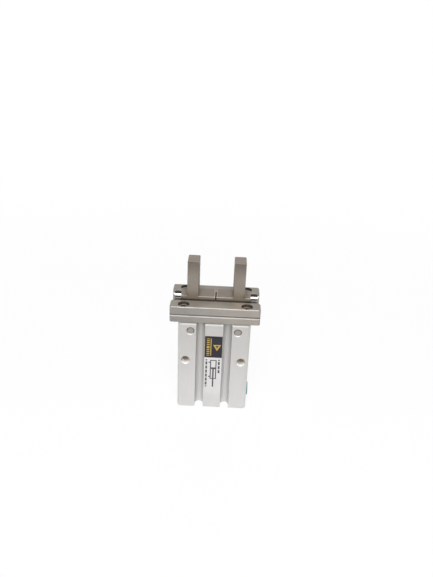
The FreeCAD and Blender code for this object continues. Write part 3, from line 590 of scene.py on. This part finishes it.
def rail_zones(place):
    """Masks of the rail, for ground().

    Rollers polish the raceways, apart from the middle that none reaches, and the V line's lower flank
    catches some light. A painted highlight brightens the upper edges and painted light the lower ones.
    Painted shade darkens the counterbores, the V line's upper flank, the channel's walls, the raceways'
    middle and the top, over its rear half and at the ends of its front half. A lighter, warm tint, partly
    an oil film and partly painted light, grows to the right, most of all on the top's front half, and thins
    again at that half's right end.
    """
    x, y, z = axes(place)
    front = y < 0.0
    top = z > rail_top - edge
    face = abs(y) > rail_face - skin
    race_walls = between(abs(y), channel_wall + sliver, channel_wall + race_half + sliver)
    races = race_walls * (abs(z - race_z) < race_half) * lengthwise(place)
    rolled = ramp(abs(x), race_idle, 2 * race_idle)
    upper_edges = between(abs(y), rail_face - chamfer, rail_face - skin) * (z > rail_top - chamfer)
    lower_edges = (abs(y) > rail_face - foot_chamfer) * (z < rail_foot + foot_chamfer - skin)
    lower_flank = between(z, line_z - line_half, line_z) * between(abs(y), line_root, rail_face - skin)
    upper_flank = between(z, line_z, line_z + line_half) * between(abs(y), line_root, rail_face - edge)
    aside = abs(x) - screw_x
    along = abs(y) - screw_y
    round_screws = aside * aside + along * along < (counterbore_radius + edge) ** 2
    counterbores = round_screws * between(z, seat_z - sliver, rail_top - edge)
    channel_sides = between(abs(y), channel_wall - edge, channel_wall + edge)
    walls = channel_sides * between(z, channel_floor, rail_top - 2 * edge)
    # Painted shade on the top: over its rear half and towards the ends of its front half.
    painted_top_shade = top * (0.12 * (1.0 - front) + 0.18 * front * ramp(abs(x), *top_shade_span))
    # A lighter, warm tint, partly an oil film and partly painted light, growing to the right.
    face_tint_and_light = 0.5 * face * ramp(x, *face_tint_span)
    top_tint_and_light = top * (0.3 + front * (0.25 + 0.75 * ramp(x, *top_tint_span) - 0.9 * ramp(x, *end_span)))
    polished = races * rolled + 0.1 * lower_flank
    # A painted highlight on the upper chamfers and painted light along the foot.
    painted_light = 0.1 * upper_edges + 0.5 * lower_edges
    # Painted shade in the counterbores, V line's upper flank, channel walls, raceways' middle and top.
    oil = 0.85 * counterbores + 0.8 * upper_flank + 0.7 * walls + 0.4 * races * (1.0 - rolled) + painted_top_shade
    return polished, painted_light, oil, face_tint_and_light + top_tint_and_light


# Its film colour, lighter than the steel, is partly an oil tint and partly painted light.
rail_steel = finish("ground_steel_rail", ground, lines=(9.0, 0.07, 0.07), rough=0.36,
                    dark=shade(134, 131, 128), light=shade(154, 150, 146),
                    rubbed=shade(246, 244, 241), film=shade(184, 174, 159), zones=rail_zones)
coat(rail_steel, "guide_rail")

# Guide screws: four socket-head cap screws of bare alloy steel, sunk in the rail's counterbores. The head
# has a knurled side, a rounded rim and a hexagon socket, and the shank is threaded into the body.
shank_radius = 1.25
shank_length = seat_z - screws_low.z
screw_pitch = 0.45
key_width = 2.0
key_depth = 1.2


def cap_screw(x, y):
    """Socket-head screw on its seat, as points, four-sided faces and triangles, in mm.

    The surface is (x + r(s, t) cos t, y + r(s, t) sin t, z(s)): s runs from the tip up the shank, out under
    the head, up its side, over the rim and down into the socket, and t goes once round. The knurl is a wave
    of t on the side, the thread a wave of t - 2 pi z / pitch on the shank, and the socket's r is a
    hexagon's. A fan of triangles closes the tip, and another the drilled floor of the socket.
    """
    around = 108
    steps_a_pitch = 6
    thread_depth = 0.24
    slack = 0.02
    neck = 0.3
    knurls = 27
    knurl_depth = 0.06
    plain_band = 0.12
    foot_inset = 0.10
    rim = 0.28
    rim_rows = 6
    lip = 0.12
    floor_bevel = 0.10
    floor_share = 0.96
    drill_cone = 0.25
    top = seat_z + head_height
    socket_floor = top - key_depth
    t = np.linspace(0.0, 2 * math.pi, around, endpoint=False)
    once_round = np.ones(around)

    thread_rows = int((shank_length - neck) / screw_pitch * steps_a_pitch)
    shank_z = np.linspace(seat_z - shank_length, seat_z - neck, thread_rows)
    wave = np.abs((shank_z[:, None] / screw_pitch - t / (2 * math.pi)) % 1.0 - 0.5) * 2
    taper = np.clip((shank_z - shank_z[0]) / screw_pitch, 0.0, 1.0)[:, None]
    crest = shank_radius - slack
    thread = crest - thread_depth * (1.0 - wave * taper)

    side = head_radius - knurl_depth * (0.5 + 0.5 * np.cos(knurls * t))
    bend = np.linspace(0.0, math.pi / 2, rim_rows)
    hexagon = key_width / 2 / np.cos((t + math.pi / 6) % (math.pi / 3) - math.pi / 6)
    radii = np.vstack([
        thread, crest * once_round,
        (head_radius - foot_inset) * once_round, side, side,
        np.outer(head_radius - rim + rim * np.cos(bend), once_round),
        (key_width / math.sqrt(3) + lip) * once_round, hexagon, hexagon, floor_share * hexagon,
    ])
    heights = np.concatenate([
        shank_z, [seat_z],
        [seat_z, seat_z + plain_band, top - rim - plain_band],
        top - rim + rim * np.sin(bend),
        [top, top - lip, socket_floor + floor_bevel, socket_floor],
    ])
    level = np.repeat(heights[:, None], around, axis=1)
    grid = np.stack([x + radii * np.cos(t), y + radii * np.sin(t), level], axis=-1)
    poles = np.array([[x, y, shank_z[0]], [x, y, socket_floor - drill_cone]])
    points = np.concatenate([grid.reshape(-1, 3), poles])

    here = np.arange(around)
    following = (here + 1) % around
    row = np.arange(len(heights) - 1)[:, None] * around
    quads = np.stack([row + here, row + following, row + around + following, row + around + here], axis=-1)
    last = (len(heights) - 1) * around
    tip = np.full(around, last + around)
    tip_fan = np.stack([tip, following, here], axis=-1)
    floor_fan = np.stack([tip + 1, last + here, last + following], axis=-1)
    return points, quads.reshape(-1, 4), tip_fan, floor_fan


screw_places = ((screw_x, screw_y), (-screw_x, screw_y), (-screw_x, -screw_y), (screw_x, -screw_y))
screw_shapes = [cap_screw(x, y) for x, y in screw_places]
cap_screws = piece("guide_cap_screws", screw_shapes, screw_steel, "housing")
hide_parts("guide_screws")

# Crossed rollers and their stop pins: bearing-steel rollers that lie at right angles to their neighbours
# in the raceways, kept in by small pins pressed through each finger's base.
roller_steel = finish("roller_steel", hardened, lines=(0.04, 0.04, 0.04), rough=0.14,
                      dark=shade(176, 173, 168), light=shade(206, 203, 199))
coat(roller_steel, "left_front_rollers", "left_rear_rollers", "right_front_rollers", "right_rear_rollers",
     "left_roller_stops", "right_roller_stops")

# Fingers: hardened steel, milled and ground, each with a base that slides in the rail and an upright with
# two M3 holes through it for the gripping jaw that the user fits.
_, finger_high = corners("left_finger")
grip_face, _ = mount("right_grip_face")
jaw_bolts, jaw_dims = mount("right_finger_bolts")
base_flank = finger_high.y
finger_top = finger_high.z
upright_x = (grip_face.x + jaw_bolts.x) / 2
base_rise = 1.8
base_top = rail_top + base_rise
root_x = jaw_bolts.x + 0.25
root_z = base_top + 0.5
rim_width = 0.27
lip_end = 0.7
gap_shade_span = (rail_top + 0.1, rail_top + 1.0)
outer_span = (root_x - 1.0, root_x + 2.0)
tip_span = (finger_top - 8.0, finger_top)
climb_span = (root_z - 0.5, root_z + 3.5)
foot_span = (2.4, 4.0)
root_shade_span = (0.2, 2.2)  # squares of the distance from the root


def finger_zones(place):
    """Masks of both fingers, for ground().

    Rollers polish the raceways in the bases' flanks, hands the long edges of the uprights, and a painted
    highlight brightens the bases' inner lips. Painted shade darkens the flanks next to the gap to the rail,
    the root of each upright, the rim of the top and the uprights towards the top, and the outer ends and
    the bases' tops are a little darker. Each upright turns darker and more olive towards its foot.
    """
    x, y, z = axes(place)
    flanks = abs(y) > base_flank - edge
    race_walls = between(abs(y), base_flank - race_half - edge, base_flank - edge)
    races = race_walls * (abs(z - race_z) < race_half) * lengthwise(place)
    corner = between(abs(y), base_flank - rim_width, base_flank - skin)
    long_edges = corner * between(z, base_top, finger_top - rim_width)
    # Painted highlight on the bases' inner lips.
    lips = (abs(x) < lip_end) * (z > base_top - rim_width)
    # Painted shade on the flanks next to the gap to the rail.
    gap_shade = flanks * (1.0 - ramp(z, *gap_shade_span))
    aside = abs(x) - root_x
    above = z - root_z
    # Painted shade at the root of each upright.
    root_shade = 1.0 - ramp(aside * aside + above * above, *root_shade_span)
    # Painted shade along the top's rim and towards the top of the uprights.
    top_rim_shade = (z > finger_top - rim_width) * (abs(y) > base_flank - rim_width)
    tip = flanks * ramp(z, *tip_span)
    outer_end = flanks * ramp(abs(x), *outer_span)
    tread = between(z, base_top - edge, base_top + edge)
    # Painted shade, with the outer ends and the bases' tops a little darker.
    oil = 0.9 * gap_shade + 0.2 * root_shade + 0.3 * top_rim_shade + 0.5 * tip + 0.2 * outer_end + 0.10 * tread
    climb = 1.0 - ramp(z, *climb_span)
    foot = climb * (1.0 - ramp(abs(abs(x) - upright_x), *foot_span))
    return races + 0.4 * long_edges, 0.4 * lips, oil, foot


finger_steel = finish("ground_steel_finger", ground, lines=(0.10, 0.10, 7.0), rough=0.42,
                      dark=shade(132, 124, 115), light=shade(154, 146, 136),
                      rubbed=shade(222, 214, 200), film=shade(136, 125, 108), zones=finger_zones)
coat(finger_steel, "left_finger", "right_finger")

jaw_thread = {"radius": jaw_dims["hole_r_mm"], "depth": 0.10, "pitch": 0.5, "length": 4.2}
jaw_lead = 0.4
jaw_start = grip_face.x + jaw_lead
jaw_half = jaw_dims["spacing_y_mm"] / 2
for name, side in (("left", -1), ("right", 1)):
    jaw_ridges = [thread_ridge((side * jaw_start, 0, z), (side, 0, 0), **jaw_thread)
                  for z in (jaw_bolts.z + jaw_half, jaw_bolts.z - jaw_half)]
    piece(f"{name}_finger_threads", jaw_ridges, finger_steel, f"{name}_finger")

# Label: a printed film stuck on the rib between the front slots. It is a plain generic one, a dark block
# with gilt marks over a pale field, printed to be read with the gripper lying on its side.
_, label_high = corners("blank_label")
block_height = 10.5
block_z = label_high.z - block_height
sign_x = 1.5
sign_foot = 3.4
sign_top = 6.4
sign_slope = 0.58
sign_stroke = 0.5
sign_inset = 0.75
scale_middle = 5.2
scale_reach = 4.3
tick_pitch = 1.0
tick_width = 0.55
tick_span = (-2.9, -1.7)
bar_span = (-1.3, -0.9)
shell_x = 0.2
shell_half = 1.4
shell_wall = 0.45
shell_start = 1.2
shell_end = 11.0
piston_start = 5.0
piston_end = 5.9
stem_half = 0.32
stem_end = 15.2
port_span = (-1.9, -1.1)
upper_port_run = (2.2, 2.7)
lower_port_run = (9.5, 10.0)
long_rule_span = (-3.2, -2.45)
long_rule_run = (1.0, 15.2)
short_rule_span = (2.2, 3.0)
short_rule_run = (1.0, 8.4)
dash_pitch = 2.1
dash_length = 1.6

pale_dark = shade(199, 198, 198)
pale_light = shade(209, 208, 207)
block_dark = shade(37, 36, 41)
block_light = shade(49, 48, 53)
ink_brown = shade(48, 42, 39)
gilt_yellow = shade(190, 162, 84)


def printed(wire):
    """Ink masks drawn from boxes in millimetres, under a thin satin laminate.

    The dark block has the usual sign for air pressure, a triangle, beside a scale, and the pale field the
    usual sign for a double-acting cylinder between two dashed rules.
    """
    place = millimetres(wire)
    x, _, z = axes(place)
    up = z - block_z
    block = up > 0.0
    across = abs(x - sign_x)
    half = sign_slope * (up - sign_foot)
    hollow = (across < half - sign_inset) * (up < sign_top - sign_stroke)
    triangle = (across < half) * (up < sign_top) * (1.0 - hollow)
    run = abs(up - scale_middle)
    ticks = (run % tick_pitch < tick_width) * between(x, *tick_span)
    scale = (ticks + between(x, *bar_span)) * (run < scale_reach)
    gilt = ramp(triangle + scale, 0.4, 0.6) * block

    down = block_z - z
    off = abs(x - shell_x)
    shell = (off < shell_half) * between(down, shell_start, shell_end)
    inside_run = between(down, shell_start + shell_wall, shell_end - shell_wall)
    inside = (off < shell_half - shell_wall) * inside_run
    piston = (off < shell_half) * between(down, piston_start, piston_end)
    stem = (off < stem_half) * between(down, piston_end, stem_end)
    ports = between(x, *port_span) * (between(down, *upper_port_run) + between(down, *lower_port_run))
    long_rule = between(x, *long_rule_span) * between(down, *long_rule_run)
    short_rule = between(x, *short_rule_span) * between(down, *short_rule_run)
    dashes = (down % dash_pitch < dash_length) * (long_rule + short_rule)
    ink = ramp(shell - inside + piston + stem + ports + dashes, 0.4, 0.6)

    screen = grain(place, (0.06, 0.06, 0.06))
    film = grain(place, (1.8, 1.8, 2.6))
    return {
        "Base Color": layers(
            blend_colours(film, pale_dark, pale_light),
            (ink * (0.86 + 0.12 * screen), ink_brown),
            (block, blend_colours(film, block_dark, block_light)),
            (gilt * (0.88 + 0.12 * screen), gilt_yellow),
        ),
        "Metallic": 0.35 * gilt,
        "Specular IOR Level": 0.25,
        "Roughness": 0.36 + 0.10 * film + 0.06 * screen,
        "Normal": relief(0.6 * film + 0.4 * screen, depth=0.003, soft=rounded(wire, radius=0.04)),
    }


label_film = finish("label_film", printed)
coat(label_film, "blank_label")

# Port plugs: soft teal plugs pushed into the mouths of the air ports to keep dust out until the gripper is
# fitted. They are moulded polyethylene, with a dished head that a fingernail can lift.
plug_plastic = finish("plug_plastic", moulded, rough=0.36,
                      dark=shade(64, 136, 146), light=shade(92, 160, 168))
coat(plug_plastic, "lower_port_plug", "upper_port_plug")

# Studio: a sheet of white paper in a soft white room. A small softbox above the front shows in the metal,
# and four broad ones, at the front, the rear, the left and the right, only fill the shadows.
white = (1.0, 1.0, 1.0, 1.0)


def seen(wire):
    """1 on camera, glossy and transmission rays."""
    camera_ray = wire.node("ShaderNodeLightPath", output="Is Camera Ray")
    glossy_ray = wire.node("ShaderNodeLightPath", output="Is Glossy Ray")
    clear_ray = wire.node("ShaderNodeLightPath", output="Is Transmission Ray")
    return ramp(camera_ray + glossy_ray + clear_ray, 0.0, 1.0)


paper = bpy.data.materials.new("floor_paper")
wire = empty_tree(paper)
place = millimetres(wire)
fibre = grain(place, (30.0, 30.0, 30.0))
matte = wire.node("ShaderNodeBsdfDiffuse", inputs={
    "Color": blend_colours(fibre, shade(240, 240, 240), shade(246, 246, 246))})
glow = wire.node("ShaderNodeEmission", inputs={"Color": white, "Strength": 1.0})
distance = wire.node("ShaderNodeVectorMath", {"operation": "LENGTH"}, {0: place}, "Value")
# Near the object a tenth of the light that is seen is the lit paper's own, so that the shadow shows.
shown = seen(wire) * (0.9 + 0.1 * ramp(distance, 80.0, 400.0))
mixed = wire.node("ShaderNodeMixShader", inputs={0: shown, 1: matte, 2: glow})
wire.node("ShaderNodeOutputMaterial", inputs={"Surface": mixed})

floor_half = 4.0
floor_z = -0.00005
floor_corners = floor_half * np.array([[-1, -1, 0], [1, -1, 0], [1, 1, 0], [-1, 1, 0]])
floor = mesh_object("floor", floor_corners + (0.0, 0.0, floor_z), [[0, 1, 2, 3]], paper)

room = bpy.data.worlds.new("studio_room")
bpy.context.scene.world = room
warm_ceiling = (0.74, 0.70, 0.64, 1.0)
dark_front = (0.22, 0.20, 0.19, 1.0)
fill_light = (0.22, 0.22, 0.22, 1.0)
wire = empty_tree(room)
_, back, up = axes(wire.node("ShaderNodeTexCoord", output="Generated"))
mirrored_room = layers(
    blend_colours(ramp(up, 0.06, 0.44), white, warm_ceiling),
    (ramp(0.0 - back, 0.60, 0.85), dark_front),
    (wire.node("ShaderNodeLightPath", output="Is Camera Ray"), white),
)
air = wire.node("ShaderNodeBackground", inputs={
    "Color": blend_colours(seen(wire), fill_light, mirrored_room), "Strength": 1.0})
wire.node("ShaderNodeOutputWorld", inputs={"Surface": air})

object_middle = Vector((0.0, 0.0, 0.035))


def softbox(name, place, size, watts, in_metal):
    """Square area lamp at a place in metres that faces the object; in_metal says if metal mirrors it."""
    lamp = bpy.data.lights.new(name, "AREA")
    lamp.size = size
    lamp.energy = watts
    held = bpy.data.objects.new(name, lamp)
    held.location = place
    held.rotation_euler = (object_middle - Vector(place)).to_track_quat("-Z", "Y").to_euler()
    held.visible_glossy = in_metal
    bpy.context.scene.collection.objects.link(held)


softbox("top_softbox", (0.0, -0.27, 0.58), size=0.24, watts=1.5, in_metal=True)
softbox("front_softbox", (0.0, -0.62, 0.46), size=0.40, watts=3.55, in_metal=False)
softbox("rear_softbox", (0.0, 0.66, 0.14), size=0.40, watts=2.4, in_metal=False)
softbox("left_softbox", (-0.66, 0.0, 0.14), size=0.40, watts=0.8, in_metal=False)
softbox("right_softbox", (0.66, 0.0, 0.14), size=0.40, watts=0.8, in_metal=False)

# Camera: it stands where the photograph was taken, above the front, and is tilted a little to one side.
# Its place is in metres, its angles are in radians, and its focal length is in pixels of the picture.
eye = (0.002442, -0.222112, 0.162261)
yaw = -0.0106457
pitch = 0.4541614
roll = 0.0423305
focal_pixels = 577.441
height_pixels = 577.0
forward = np.array([math.sin(yaw) * math.cos(pitch), math.cos(yaw) * math.cos(pitch), -math.sin(pitch)])
level = np.array([math.cos(yaw), -math.sin(yaw), 0.0])
upright = np.cross(level, forward)
stand = np.eye(4)
stand[:3, 0] = level * math.cos(roll) + upright * math.sin(roll)
stand[:3, 1] = upright * math.cos(roll) - level * math.sin(roll)
stand[:3, 2] = -forward
stand[:3, 3] = eye
lens = bpy.data.cameras.new("camera")
lens.lens = lens.sensor_width * focal_pixels / height_pixels
lens.clip_start = 0.01
lens.clip_end = 20.0
camera = bpy.data.objects.new("camera", lens)
camera.matrix_world = Matrix(stand.tolist())
bpy.context.scene.collection.objects.link(camera)
bpy.context.scene.camera = camera
bpy.context.scene.view_settings.view_transform = "Standard"
